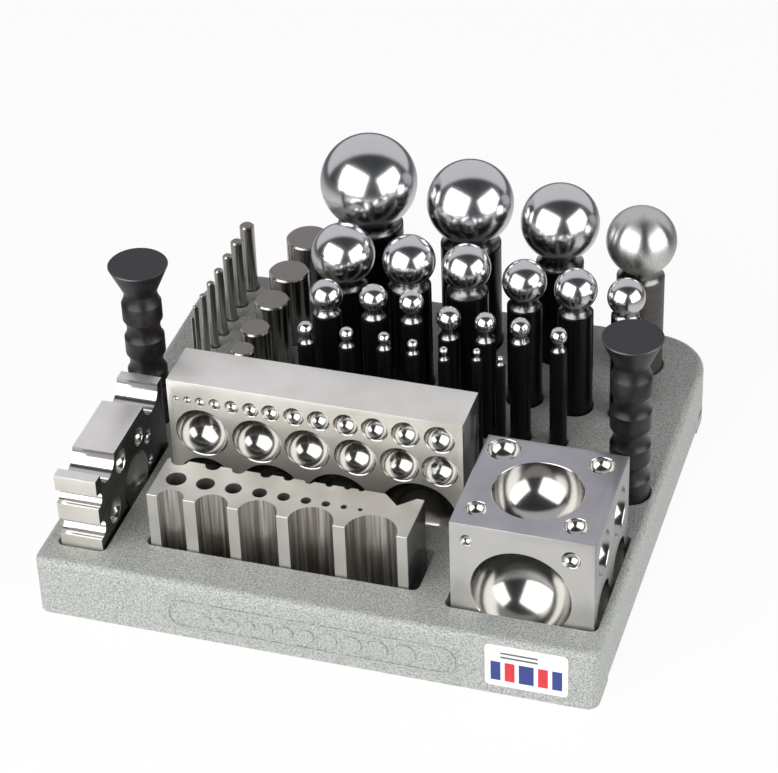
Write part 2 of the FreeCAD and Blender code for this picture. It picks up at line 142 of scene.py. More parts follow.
world = bpy.data.worlds.new("studio")
bpy.context.scene.world = world
world.use_nodes = True
tree = world.node_tree
tree.nodes.clear()
screen_tilt = math.radians(11.5)
screen_normal = Vector((-math.sin(camera_azimuth) * math.cos(screen_tilt),
                        math.cos(camera_azimuth) * math.cos(screen_tilt),
                        math.sin(screen_tilt)))
direction = node_of(tree, "ShaderNodeTexCoord")
towards_screen = node_of(tree, "ShaderNodeVectorMath", operation="DOT_PRODUCT")
tree.links.new(direction.outputs["Generated"], towards_screen.inputs[0])
towards_screen.inputs[1].default_value = screen_normal
screen = node_of(tree, "ShaderNodeValToRGB")
screen.color_ramp.elements[0].position = 0.65
screen.color_ramp.elements[0].color = (0.045, 0.049, 0.051, 1)
screen.color_ramp.elements[1].position = 0.70
screen.color_ramp.elements[1].color = (0.67, 0.66, 0.69, 1)
half_turn = math_node(tree, "MULTIPLY_ADD", towards_screen.outputs["Value"], 0.5, 0.5)
tree.links.new(half_turn, screen.inputs["Fac"])
room = node_of(tree, "ShaderNodeBackground")
room.inputs["Color"].default_value = (0.17, 0.17, 0.175, 1)
reflected = node_of(tree, "ShaderNodeBackground")
tree.links.new(screen.outputs["Color"], reflected.inputs["Color"])
backdrop = node_of(tree, "ShaderNodeBackground")
backdrop.inputs["Color"].default_value = (1, 1, 1, 1)
ray = node_of(tree, "ShaderNodeLightPath")
for_metal = node_of(tree, "ShaderNodeMixShader")
for_camera = node_of(tree, "ShaderNodeMixShader")
tree.links.new(ray.outputs["Is Glossy Ray"], for_metal.inputs[0])
tree.links.new(room.outputs[0], for_metal.inputs[1])
tree.links.new(reflected.outputs[0], for_metal.inputs[2])
tree.links.new(ray.outputs["Is Camera Ray"], for_camera.inputs[0])
tree.links.new(for_metal.outputs[0], for_camera.inputs[1])
tree.links.new(backdrop.outputs[0], for_camera.inputs[2])
tree.links.new(for_camera.outputs[0], node_of(tree, "ShaderNodeOutputWorld").inputs["Surface"])

# Base casting. One iron casting in eight nodes that touch, hollow below. It keeps the CAD model's
# shape, and is sprayed all over with a pale grey hammertone enamel that dries in fine wrinkles.
enamel_pale = (0.47, 0.485, 0.46, 1)
# Colour of the wrinkles' hollows: painted shade.
enamel_hollow_shade = (0.23, 0.24, 0.225, 1)
wrinkle_size = 0.9 * MM
wrinkle_depth = 0.55 * MM
speckle_size = 0.5 * MM
speckle_depth = 0.28 * MM
sag_size = 14 * MM
sag_depth = 0.6 * MM


def new_finish(name, colour, metallic, roughness):
    """A node material with its plain values set on the Principled shader."""
    finish = bpy.data.materials.new(name)
    finish.use_nodes = True
    shader = finish.node_tree.nodes["Principled BSDF"]
    shader.inputs["Base Color"].default_value = colour
    shader.inputs["Metallic"].default_value = metallic
    shader.inputs["Roughness"].default_value = roughness
    return finish, finish.node_tree, shader


def noise(tree, grain, detail=2.0, stretch=(1, 1, 1)):
    """A noise over Object coordinates, with a grain in metres, stretched along the axes."""
    place = node_of(tree, "ShaderNodeTexCoord")
    scaling = node_of(tree, "ShaderNodeMapping")
    scaling.inputs["Scale"].default_value = [1 / (grain * axis) for axis in stretch]
    texture = node_of(tree, "ShaderNodeTexNoise")
    texture.inputs["Scale"].default_value = 1.0
    texture.inputs["Detail"].default_value = detail
    tree.links.new(place.outputs["Object"], scaling.inputs["Vector"])
    tree.links.new(scaling.outputs["Vector"], texture.inputs["Vector"])
    return texture.outputs["Fac"]


def ramp(tree, value, low, high, low_colour, high_colour):
    """Turn a value into a colour between two stops."""
    stops = node_of(tree, "ShaderNodeValToRGB")
    stops.color_ramp.elements[0].position = low
    stops.color_ramp.elements[0].color = low_colour
    stops.color_ramp.elements[1].position = high
    stops.color_ramp.elements[1].color = high_colour
    tree.links.new(value, stops.inputs["Fac"])
    return stops.outputs["Color"]


def bump(tree, shader, value, depth, strength=1.0):
    """Raise the surface by a value, depth metres at most."""
    relief = node_of(tree, "ShaderNodeBump")
    relief.inputs["Distance"].default_value = depth
    relief.inputs["Strength"].default_value = strength
    tree.links.new(value, relief.inputs["Height"])
    if shader.inputs["Normal"].is_linked:
        tree.links.new(shader.inputs["Normal"].links[0].from_socket, relief.inputs["Normal"])
    tree.links.new(relief.outputs["Normal"], shader.inputs["Normal"])


def enamel():
    """Hammertone enamel: fine wrinkles with painted shade darkening their hollows, a speckle, and slow
    sags.
    """
    finish, tree, shader = new_finish("hammertone_enamel", enamel_pale, 0.0, 0.30)
    wrinkles = noise(tree, wrinkle_size, 3.0)
    # The wrinkle noise also darkens the colour where the bump sinks: painted shade in the hollows.
    tree.links.new(ramp(tree, wrinkles, 0.36, 0.62, enamel_hollow_shade, enamel_pale),
                   shader.inputs["Base Color"])
    bump(tree, shader, wrinkles, wrinkle_depth, 0.9)
    bump(tree, shader, noise(tree, speckle_size), speckle_depth, 1.0)
    bump(tree, shader, noise(tree, sag_size), sag_depth, 0.25)
    return finish


base_enamel = enamel()
for node in ("base_front_wall", "base_underframe", "base_floor", "base_swage_seat",
             "base_cube_seat", "base_grooved_seat", "base_dapping_seat", "base_socket_plate"):
    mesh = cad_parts[node].data
    mesh.materials.clear()
    mesh.materials.append(base_enamel)

# Front label. A white printed film with rounded corners, stuck on the front of the casting. It
# carries plain bars of blue and red ink below two short grey rules.
label_low, label_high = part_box("front_label")
label_radius = 2.5 * MM
bar_edges = (0.07, 0.19, 0.24, 0.36, 0.41, 0.59, 0.64, 0.76, 0.81, 0.93)
bar_foot = 0.14
bar_head = 0.60
rule_ends = (0.19, 0.64)
rule_bands = ((0.70, 0.745), (0.80, 0.845))


def select_only(piece):
    """Make a piece the one selected, active object."""
    bpy.ops.object.select_all(action="DESELECT")
    piece.select_set(True)
    bpy.context.view_layer.objects.active = piece


def bake_place(piece):
    """Put a finished piece's place into its mesh."""
    select_only(piece)
    bpy.ops.object.transform_apply(location=True, rotation=True, scale=True)


def rough_block(name, low, high):
    """A rectangular blank between two corners, with its place in its mesh."""
    bpy.ops.object.select_all(action="DESELECT")
    bpy.ops.mesh.primitive_cube_add(size=1, location=(low + high) / 2)
    blank = bpy.context.object
    blank.name = name
    blank.scale = high - low
    bake_place(blank)
    return blank


def round_edges(piece, wanted, width, segments):
    """Bevel the edges of a piece that a test on their two ends picks."""
    select_only(piece)
    bpy.ops.object.mode_set(mode="EDIT")
    bpy.ops.mesh.select_mode(type="EDGE")
    bpy.ops.mesh.select_all(action="DESELECT")
    bpy.ops.object.mode_set(mode="OBJECT")
    for edge in piece.data.edges:
        ends = [piece.data.vertices[index].co for index in edge.vertices]
        edge.select = wanted(ends[0], ends[1])
    bpy.ops.object.mode_set(mode="EDIT")
    bpy.ops.mesh.bevel(offset=width, segments=segments, affect="EDGES", profile=0.5)
    bpy.ops.object.mode_set(mode="OBJECT")


def cut_across(piece, point, normal):
    """Slice every face of a piece along a plane, without taking anything away."""
    select_only(piece)
    bpy.ops.object.mode_set(mode="EDIT")
    bpy.ops.mesh.select_all(action="SELECT")
    bpy.ops.mesh.bisect(plane_co=point, plane_no=normal)
    bpy.ops.object.mode_set(mode="OBJECT")


def along_y(first, second):
    """Whether an edge runs along Y."""
    return abs(first.x - second.x) < 1e-6 and abs(first.z - second.z) < 1e-6


def printed_ink(name, colour):
    """Ink or bare film under a gloss laminate, with a little mottle."""
    finish, tree, shader = new_finish(name, colour, 0.0, 0.3)
    darker = [channel * 0.88 for channel in colour[:3]] + [1]
    tree.links.new(ramp(tree, noise(tree, 3 * MM), 0.3, 0.7, darker, colour),
                   shader.inputs["Base Color"])
    bump(tree, shader, noise(tree, 0.6 * MM), 0.02 * MM, 0.3)
    return finish


label = rough_block("label_film", label_low, label_high)
label_size = label_high - label_low
round_edges(label, along_y, label_radius, 6)
for share in bar_edges:
    cut_across(label, (label_low.x + share * label_size.x, 0, 0), (1, 0, 0))
for share in (bar_foot, bar_head, *rule_bands[0], *rule_bands[1]):
    cut_across(label, (0, 0, label_low.z + share * label_size.z), (0, 0, 1))
label.data.materials.append(printed_ink("white_film", (0.80, 0.80, 0.79, 1)))
label.data.materials.append(printed_ink("blue_ink", (0.030, 0.050, 0.22, 1)))
label.data.materials.append(printed_ink("red_ink", (0.60, 0.030, 0.045, 1)))
label.data.materials.append(printed_ink("grey_ink", (0.12, 0.12, 0.13, 1)))
bars = list(zip(bar_edges[::2], bar_edges[1::2]))
for face in label.data.polygons:
    across = (face.center.x - label_low.x) / label_size.x
    up = (face.center.z - label_low.z) / label_size.z
    if face.normal.y > -0.5:
        continue
    for number, (left, right) in enumerate(bars):
        if left < across < right and bar_foot < up < bar_head:
            face.material_index = 1 + number % 2
    in_band = any(foot < up < head for foot, head in rule_bands)
    if rule_ends[0] < across < rule_ends[1] and in_band:
        face.material_index = 3
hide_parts("front_label")
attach(label, "base")

# Dapping block. A bar of hardened steel standing on edge, ground on its faces and broken along its
# edges, with three rows of round cavities sunk and polished in its front face. Cutters are turned
# like the real ones, a ball with a flare at the mouth, and taken out of the blank together.
dapping_low, dapping_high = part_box("dapping_block")
upper_cavities = ((3, 4.7), (4, 10.6), (5, 17.3), (6, 24.9), (7, 33.8), (8, 43.6), (9, 54.0),
                  (10, 66.0), (11, 78.8), (12, 92.7), (13, 107.4), (14, 123.1), (15, 140.2))
middle_cavities = ((27, 17.1), (25, 45.8), (23, 72.1), (21, 96.9), (19.5, 119.6), (18, 140.1))
lower_cavities = ((29, 17.7), (33, 51.8), (35, 87.3), (40, 128.4))
cavity_rows = ((71.2, upper_cavities), (52.2, middle_cavities), (21.9, lower_cavities))
cavity_depth = 0.46
broken_edge = 0.35 * MM
weld_distance = 1e-6
smooth_below = math.radians(28)


def sweep(centre_height, radius, start, end, steps):
    """Points of a round stretch of an outline about a centre on the axis, angles from straight down."""
    turns = [start + (end - start) * step / steps for step in range(steps + 1)]
    return [(radius * math.sin(turn), centre_height - radius * math.cos(turn)) for turn in turns]


def turn_on_lathe(name, outline, steps=96):
    """Draw half an outline point by point in the XZ plane, then spin it about the Z axis."""
    bpy.ops.object.select_all(action="DESELECT")
    bpy.ops.mesh.primitive_plane_add(size=MM, location=(outline[0][0], 0, outline[0][1]))
    piece = bpy.context.object
    piece.name = name
    bpy.ops.object.mode_set(mode="EDIT")
    bpy.ops.mesh.select_mode(type="VERT")
    bpy.ops.mesh.merge(type="CENTER")
    for (radius, height), (next_radius, next_height) in zip(outline, outline[1:]):
        move = (next_radius - radius, 0, next_height - height)
        bpy.ops.mesh.extrude_vertices_move(TRANSFORM_OT_translate={"value": move})
    bpy.ops.mesh.select_all(action="SELECT")
    bpy.ops.mesh.spin(steps=steps, angle=2 * math.pi, center=(0, 0, 0), axis=(0, 0, 1))
    bpy.ops.mesh.select_all(action="SELECT")
    bpy.ops.mesh.remove_doubles(threshold=weld_distance)
    bpy.ops.mesh.normals_make_consistent(inside=False)
    bpy.ops.object.mode_set(mode="OBJECT")
    bake_place(piece)
    return piece


def cavity_cutter(diameter, depth, mouth, outward, finish):
    """A turned cutter for one cavity: a ball cap, a flare at the mouth, and a plug outside it."""
    reach = diameter / 2
    ball = (reach ** 2 + depth ** 2) / (2 * depth)
    flare = min(0.5 * MM, 0.04 * diameter)
    lip = math.acos((ball - depth) / ball)
    outline = sweep(ball - depth, ball, 0, lip, max(8, round(diameter / MM)))
    outline += [(reach + 0.3 * flare, 0.25 * flare), (reach + flare, flare)]
    outline += [(reach + flare, 3 * flare), (0, 3 * flare)]
    outline = [(radius, height - flare * 0.7) for radius, height in outline]
    cutter = turn_on_lathe("cavity_cutter", outline, 72 if diameter > 12 * MM else 48)
    cutter.data.materials.append(finish)
    cutter.rotation_euler = outward.to_track_quat("Z", "Y").to_euler()
    cutter.location = mouth
    bake_place(cutter)
    return cutter


def join_pieces(pieces):
    """Join several pieces to the first one."""
    bpy.ops.object.select_all(action="DESELECT")
    for piece in pieces:
        piece.select_set(True)
    bpy.context.view_layer.objects.active = pieces[0]
    bpy.ops.object.join()
    return pieces[0]


def take_out(blank, cutters):
    """Take the joined cutters out of a blank and weld what meets. Their finish stays behind."""
    cutter = join_pieces(cutters)
    select_only(blank)
    cut = blank.modifiers.new("cut", "BOOLEAN")
    cut.operation = "DIFFERENCE"
    cut.solver = "EXACT"
    cut.material_mode = "TRANSFER"
    cut.object = cutter
    bpy.ops.object.modifier_apply(modifier=cut.name)
    bpy.data.objects.remove(cutter)
    select_only(blank)
    bpy.ops.object.mode_set(mode="EDIT")
    bpy.ops.mesh.select_all(action="SELECT")
    bpy.ops.mesh.remove_doubles(threshold=weld_distance)
    bpy.ops.object.mode_set(mode="OBJECT")
    bpy.ops.object.shade_smooth_by_angle(angle=smooth_below)


def any_edge(first, second):
    """Every edge of a blank."""
    return True


def ground_steel(name, colour, roughness, streaks, warm):
    """Ground and wiped steel: fine grinding streaks, and faint warm clouds where oil has dried."""
    finish, tree, shader = new_finish(name, colour, 0.85, roughness)
    clouds = noise(tree, 22 * MM, 3.0)
    tree.links.new(ramp(tree, clouds, 0.35, 0.7, colour, warm), shader.inputs["Base Color"])
    lines = noise(tree, 0.25 * MM, 2.0, streaks)
    spread = math_node(tree, "MULTIPLY_ADD", lines, 0.16, roughness - 0.08)
    tree.links.new(spread, shader.inputs["Roughness"])
    bump(tree, shader, lines, 0.012 * MM, 0.6)
    return finish


def polished_steel(name, colour, roughness):
    """Mirror-polished steel with the faintest ripple left by the buffing wheel."""
    finish, tree, shader = new_finish(name, colour, 1.0, roughness)
    bump(tree, shader, noise(tree, 6 * MM, 1.0), 0.02 * MM, 0.25)
    return finish


# Steel of the cavities, painted darker than the balls' mirror steel: painted shade in the hollows.
cavity_polish_painted_shade = polished_steel("polished_cavity_painted_shade", (0.50, 0.49, 0.47, 1), 0.16)
block_steel = ground_steel("warm_ground_steel", (0.79, 0.77, 0.72, 1), 0.44, (40, 1, 1),
                           (0.68, 0.64, 0.58, 1))
# Tops of the bars, painted lighter than their fronts: painted light.
top_painted_light = ground_steel("ground_top_painted_light", (0.88, 0.87, 0.84, 1), 0.42, (40, 1, 1),
                        (0.80, 0.78, 0.74, 1))
# End faces of the bars, painted dark: painted shade.
end_painted_shade = ground_steel("ground_end_painted_shade", (0.25, 0.25, 0.25, 1), 0.17, (1, 40, 1),
                        (0.20, 0.197, 0.195, 1))


def face_finishes(blank, finishes):
    """Give the faces of a blank their own finishes, each picked by the way that it faces, which paints
    light on tops and shade on ends and sides.
    """
    for number, (outward, finish) in enumerate(finishes):
        blank.data.materials.append(finish)
        for face in blank.data.polygons:
            if face.normal.dot(Vector(outward)) > 0.9:
                face.material_index = number + 1


dapping_block = rough_block("dapping_bar", dapping_low, dapping_high)
dapping_block.data.materials.append(block_steel)
# The top is painted light and both ends are painted dark: painted light and painted shade.
face_finishes(dapping_block, (((0, 0, 1), top_painted_light), ((1, 0, 0), end_painted_shade), ((-1, 0, 0), end_painted_shade)))
round_edges(dapping_block, any_edge, broken_edge, 2)
cutters = []
for height, row in cavity_rows:
    for diameter, station in row:
        mouth = Vector((dapping_low.x + station * MM, dapping_low.y, dapping_low.z + height * MM))
        cutters.append(cavity_cutter(diameter * MM, diameter * MM * cavity_depth, mouth,
                                     Vector((0, -1, 0)), cavity_polish_painted_shade))
take_out(dapping_block, cutters)
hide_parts("dapping_block")
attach(dapping_block, "dapping_block_body")

# Dapping cube. A cube of the same steel with a finer, cooler grind. It has a large cavity with four
# small ones round it on top, a larger one in front, four of near sizes on its right side, and one
# with four small ones on its left and on its back.
cube_low, cube_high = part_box("dapping_cube")
cube_middle = (cube_low + cube_high) / 2
half_cube = (cube_high.x - cube_low.x) / 2
cube_steel = ground_steel("cool_ground_steel", (0.64, 0.63, 0.61, 1), 0.32, (1, 40, 40),
                          (0.59, 0.58, 0.56, 1))
# The cube's top is painted darker and violet, and its right side darker still: painted shade.
cube_top_painted_shade = ground_steel("violet_top_painted_shade", (0.47, 0.46, 0.49, 1), 0.34, (40, 1, 1),
                        (0.40, 0.39, 0.42, 1))
cube_side_painted_shade = ground_steel("cool_side_painted_shade", (0.37, 0.37, 0.37, 1), 0.26, (1, 40, 1),
                         (0.32, 0.32, 0.32, 1))
cube = rough_block("dapping_cube_blank", cube_low, cube_high)
cube.data.materials.append(cube_steel)
# Top and right side get the painted-shade copies of the steel.
face_finishes(cube, (((0, 0, 1), cube_top_painted_shade), ((1, 0, 0), cube_side_painted_shade)))
round_edges(cube, any_edge, broken_edge, 2)
cube_faces = (
    ((0, 0, 1), ((43.6, 20.0, (-0.5, -2.0)), (16.0, 6.6, (-24.6, 25.2)), (12.4, 5.2, (23.9, 24.7)),
                 (10.3, 4.4, (-25.1, -22.0)), (11.6, 4.9, (23.1, -23.2)))),
    ((0, -1, 0), ((48.8, 22.0, (-0.4, -2.0)), (6.0, 2.4, (-26.6, 25.6)), (9.2, 3.8, (23.8, 24.2)))),
    ((1, 0, 0), ((22.5, 9.0, (-16, 16)), (24.0, 9.6, (16, 16)), (25.0, 10.0, (-16, -16)),
                 (26.0, 10.4, (16, -16)))),
    ((-1, 0, 0), ((38.0, 15.0, (0, 0)), (8.0, 3.0, (-26, -26)), (8.0, 3.0, (-26, 26)),
                  (8.0, 3.0, (26, -26)), (8.0, 3.0, (26, 26)))),
    ((0, 1, 0), ((34.0, 14.0, (0, 0)), (10.0, 3.8, (-25, -25)), (10.0, 3.8, (-25, 25)),
                 (10.0, 3.8, (25, -25)), (10.0, 3.8, (25, 25)))),
)
cutters = []
for outward, cavities in cube_faces:
    outward = Vector(outward)
    for diameter, depth, (first, second) in cavities:
        if outward.z:
            offset = Vector((first, second, 0))
        elif outward.y:
            offset = Vector((first, 0, second))
        else:
            offset = Vector((0, first, second))
        mouth = cube_middle + outward * half_cube + offset * MM
        cutters.append(cavity_cutter(diameter * MM, depth * MM, mouth, outward, cavity_polish_painted_shade))
take_out(cube, cutters)
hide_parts("dapping_cube")
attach(cube, "dapping_cube_body")

# Grooved block. A bar of softer steel, milled satin all over: half-round grooves down its front for
# forming strip, through holes for tube and wire, and small notches with one vee along its back.
grooved_low, grooved_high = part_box("grooved_block")
front_grooves = ((13.4, 12.2), (16.4, 33.3), (19.5, 56.8), (22.6, 83.7), (25.8, 113.9))
through_holes = ((10.3, 10.0), (9.3, 25.2), (8.3, 39.6), (7.3, 53.1), (6.3, 65.4), (5.2, 76.7),
                 (4.2, 86.8), (3.2, 95.9), (2.4, 104.2))
back_notches = ((9, 6.6), (8, 23.8), (7, 37.2), (6, 51.4), (5, 62.8), (4.5, 73.5), (4, 83.9),
                (3.5, 93.1), (3, 100.1))
hole_setback = 15 * MM
vee_station = 120.3 * MM
vee_width = 16.2 * MM
vee_depth = 7.6 * MM
milled_edge = 0.2 * MM


def upright_cutter(diameter, x, y, low, high, finish, sides=96):
    """A round cutter that goes right through a block from top to bottom."""
    spill = 2 * MM
    outline = [(0, low - spill), (diameter / 2, low - spill), (diameter / 2, high + spill),
               (0, high + spill)]
    cutter = turn_on_lathe("round_cutter", outline, sides)
    cutter.data.materials.append(finish)
    cutter.location = (x, y, 0)
    bake_place(cutter)
    return cutter


def drawn_groove():
    """A groove drawn with a round cutter: long upright streaks, bright and oil-brown in turn."""
    finish, tree, shader = new_finish("drawn_groove", (0.55, 0.52, 0.48, 1), 1.0, 0.34)
    streaks = noise(tree, 1.8 * MM, 3.0, (1, 1, 40))
    tree.links.new(ramp(tree, streaks, 0.38, 0.62, (0.30, 0.26, 0.23, 1), (0.74, 0.72, 0.69, 1)),
                   shader.inputs["Base Color"])
    bump(tree, shader, streaks, 0.03 * MM, 0.6)
    return finish


milled_groove = drawn_groove()
# Walls of the through holes, painted dark: painted shade.
hole_wall_painted_shade = ground_steel("painted_shade_hole_wall", (0.30, 0.29, 0.28, 1), 0.45, (1, 1, 20),
                         (0.22, 0.21, 0.20, 1))
milled_steel = ground_steel("milled_steel", (0.62, 0.61, 0.58, 1), 0.38, (1, 30, 1),
                            (0.54, 0.52, 0.48, 1))
grooved = rough_block("grooved_bar", grooved_low, grooved_high)
grooved.data.materials.append(milled_steel)
# The right end is painted dark: painted shade.
face_finishes(grooved, (((1, 0, 0), end_painted_shade),))
round_edges(grooved, any_edge, milled_edge, 1)
cutters = []
for diameter, station in front_grooves:
    cutters.append(upright_cutter(diameter * MM, grooved_low.x + station * MM, grooved_low.y,
                                  grooved_low.z, grooved_high.z, milled_groove))
for diameter, station in through_holes:
    cutters.append(upright_cutter(diameter * MM, grooved_low.x + station * MM,
                                  grooved_low.y + hole_setback, grooved_low.z, grooved_high.z,
                                  hole_wall_painted_shade, 48))
for diameter, station in back_notches:
    cutters.append(upright_cutter(diameter * MM, grooved_low.x + station * MM, grooved_high.y,
                                  grooved_low.z, grooved_high.z, milled_groove, 48))
vee_reach = Vector((vee_width / 2, vee_depth, 0))
vee = rough_block("vee_cutter", Vector((-1, -1, grooved_low.z - 2 * MM)),
                  Vector((1, 1, grooved_high.z + 2 * MM)))
vee.data.materials.append(milled_groove)
for corner in vee.data.vertices:
    side = 1 if corner.co.x > 0 else -1
    back = corner.co.y > 0
    corner.co.x = grooved_low.x + vee_station + side * (vee_reach.x * 1.2 if back else 0.05 * MM)
    corner.co.y = grooved_high.y + (0.2 * vee_reach.y if back else -vee_reach.y)
cutters.append(vee)
take_out(grooved, cutters)
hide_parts("grooved_block")
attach(grooved, "grooved_block_body")

# Swage block. A thick plate of steel on edge. Two wide half-round grooves cross its top edge and two
# narrow ones its nose, all polished, and round cavities are sunk in its right side.
swage_low, swage_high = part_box("swage_block")
top_grooves = ((10.0, 73.7), (9.2, 15.1))
nose_grooves = ((4.0, 48.2), (4.7, 30.2))
nose_setback = 1.6 * MM
nose_mouth = 6 * MM
swage_edge = 0.5 * MM
side_cavities = ((30.0, 7.5, 47.5, 26.9), (10.0, 3.6, 55.3, 48.9), (8.0, 3.0, 66.0, 41.0),
                 (12.0, 4.2, 31.2, 51.0), (6.0, 2.3, 66.8, 26.2), (13.0, 4.6, 19.4, 29.3))
groove_polish = polished_steel("polished_groove", (0.68, 0.67, 0.65, 1), 0.16)
# The swage block's right side, painted near black: painted shade.
swage_side_painted_shade = ground_steel("painted_shade_swage_side", (0.075, 0.075, 0.075, 1), 0.22, (1, 40, 1),
                          (0.055, 0.054, 0.053, 1))
swage = rough_block("swage_plate", swage_low, swage_high)
swage.data.materials.append(block_steel)
# The top is painted light and the right side is painted near black: painted light and painted shade.
face_finishes(swage, (((0, 0, 1), top_painted_light), ((1, 0, 0), swage_side_painted_shade)))
round_edges(swage, any_edge, swage_edge, 2)


def crosswise_cutter(radius, y, z, mouth=0.0):
    """A cutter along X with a round nose, and a straight mouth in front of it where it has one."""
    length = swage_high.x - swage_low.x + 4 * MM
    outline = [(0, -length / 2), (radius, -length / 2), (radius, length / 2), (0, length / 2)]
    cutter = turn_on_lathe("groove_cutter", outline)
    cutter.rotation_euler = (0, math.pi / 2, 0)
    cutter.location = ((swage_low.x + swage_high.x) / 2, y, z)
    bake_place(cutter)
    cutter.data.materials.append(groove_polish)
    for corner in cutter.data.vertices:
        if mouth and corner.co.y < y - 0.1 * MM:
            corner.co.y -= mouth
    return cutter


cutters = []
for radius, station in top_grooves:
    cutters.append(crosswise_cutter(radius * MM, swage_low.y + station * MM, swage_high.z))
for radius, height in nose_grooves:
    cutters.append(crosswise_cutter(radius * MM, swage_low.y + nose_setback,
                                    swage_low.z + height * MM, nose_mouth))
for diameter, depth, station, height in side_cavities:
    mouth = Vector((swage_high.x, swage_low.y + station * MM, swage_low.z + height * MM))
    cutters.append(cavity_cutter(diameter * MM, depth * MM, mouth, Vector((1, 0, 0)),
                                 cavity_polish_painted_shade))
take_out(swage, cutters)
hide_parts("swage_block")
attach(swage, "swage_block_body")

# Forming cylinders and rods. Plain pins of turned silver steel, bright where they were polished
# along their length, with a bevel turned on each end and a fine grain on each end face.
cylinder_sizes = (24.5, 21.5, 18.6, 16, 12.8)
rod_sizes = (8, 6.8, 5.6, 5, 4.3, 3.5, 2.8, 1.8)
widest_bevel = 0.8 * MM


def size_words(diameter):
    """A size as the nodes are named by it, such as 14_5mm."""
    return ("%g" % diameter).replace(".", "_") + "mm"


def stand_in(piece, node):
    """Set a turned piece on its node's axis and let it stand for that node on its own body."""
    low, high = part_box(node)
    piece.location = ((low.x + high.x) / 2, (low.y + high.y) / 2, 0)
    bake_place(piece)
    bpy.ops.object.shade_smooth_by_angle(angle=smooth_below)
    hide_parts(node)
    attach(piece, node + "_body")


def turned_steel():
    """Turned steel: streaks along the pin, and a warm grey haze."""
    finish, tree, shader = new_finish("turned_steel", (0.42, 0.41, 0.39, 1), 1.0, 0.22)
    streaks = noise(tree, 0.5 * MM, 2.0, (1, 1, 80))
    tree.links.new(ramp(tree, streaks, 0.35, 0.65, (0.28, 0.27, 0.25, 1), (0.56, 0.55, 0.52, 1)),
                   shader.inputs["Base Color"])
    bump(tree, shader, streaks, 0.01 * MM, 0.5)
    return finish


def faced_steel():
    """The end face of a pin: duller, warm grey, with a fine grain from facing it."""
    finish, tree, shader = new_finish("faced_steel", (0.30, 0.28, 0.27, 1), 1.0, 0.48)
    grain = noise(tree, 0.3 * MM, 2.0)
    tree.links.new(ramp(tree, grain, 0.3, 0.7, (0.22, 0.205, 0.195, 1), (0.37, 0.345, 0.33, 1)),
                   shader.inputs["Base Color"])
    bump(tree, shader, grain, 0.01 * MM, 0.5)
    return finish


pin_side = turned_steel()
pin_face = faced_steel()
for kind, sizes in (("forming_cylinder_", cylinder_sizes), ("forming_rod_", rod_sizes)):
    for size in sizes:
        node = kind + size_words(size)
        low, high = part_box(node)
        radius = size / 2 * MM
        edge = min(widest_bevel, radius * 0.3)
        outline = [(0, low.z), (radius - edge, low.z), (radius, low.z + edge),
                   (radius, high.z - edge), (radius - edge, high.z), (0, high.z)]
        pin = turn_on_lathe("pin_" + size_words(size), outline, 72)
        pin.data.materials.append(pin_side)
        pin.data.materials.append(pin_face)
        for face in pin.data.polygons:
            if abs(face.normal.z) > 0.99:
                face.material_index = 1
        stand_in(pin, node)

# Ball punches. Each is turned from one bar of steel: a shank blackened in hot oil, a cone at
# its end, bright on the small punches and painted darker on the large ones as shade under the ball, and
# the ball, which is polished to a mirror. The 36.5 mm one is only brushed, and its shank has worn to a
# brown grey. A row gives a ball, its shank and the height of its cone.
punches = ((51, 34.8, 5.0), (45.5, 32, 6.0), (41, 25, 6.8), (36.5, 25, 6.3), (33, 24, 4.0),
           (27.5, 22.4, 3.2), (25, 22, 3.7), (23, 18.2, 4.6), (22, 18.2, 4.0), (19.5, 15.2, 2.8),
           (17, 15, 2.8), (14.5, 13, 4.6), (13, 12, 4.8), (12.5, 11.2, 5.4), (11, 11, 5.2),
           (10.5, 10.6, 3.4), (9, 9, 4.4), (8, 9, 4.4), (7.3, 8.6, 3.9), (6.2, 8, 3.5),
           (5.5, 7, 2.8), (4.4, 6, 3.1), (3.9, 5.5, 2.7), (3, 5, 2.0))
shank_edge = 0.6 * MM
brushed_size = 36.5
cone_steps = 5
cone_sag = 0.12


def blackened_steel():
    """Oil-blackened steel: near black and glossy, with faint rings left by the lathe."""
    finish, tree, shader = new_finish("blackened_steel", (0.004, 0.004, 0.005, 1), 0.0, 0.25)
    rings = noise(tree, 0.4 * MM, 2.0, (60, 60, 1))
    bump(tree, shader, rings, 0.006 * MM, 0.5)
    shader.inputs["Specular IOR Level"].default_value = 0.15
    return finish


def worn_shank():
    """A shank whose black has worn to brown grey, with the lathe's rings showing."""
    finish, tree, shader = new_finish("worn_shank", (0.09, 0.082, 0.076, 1), 0.7, 0.42)
    rings = noise(tree, 0.5 * MM, 3.0, (60, 60, 1))
    tree.links.new(ramp(tree, rings, 0.3, 0.7, (0.060, 0.054, 0.050, 1), (0.13, 0.12, 0.11, 1)),
                   shader.inputs["Base Color"])
    bump(tree, shader, rings, 0.02 * MM, 0.6)
    return finish


def brushed_ball():
    """A ball brushed with fine cloth, so that its reflections blur."""
    finish, tree, shader = new_finish("brushed_ball", (0.70, 0.69, 0.67, 1), 1.0, 0.30)
    scratches = noise(tree, 0.35 * MM, 2.0, (1, 1, 40))
    tree.links.new(ramp(tree, scratches, 0.35, 0.65, (0.56, 0.55, 0.53, 1), (0.76, 0.75, 0.73, 1)),
                   shader.inputs["Base Color"])
    bump(tree, shader, scratches, 0.03 * MM, 0.7)
    shader.inputs["Anisotropic"].default_value = 0.8
    shader.inputs["Anisotropic Rotation"].default_value = 0.25
    round_axis = node_of(tree, "ShaderNodeTangent", direction_type="RADIAL", axis="Z")
    tree.links.new(round_axis.outputs["Tangent"], shader.inputs["Tangent"])
    return finish


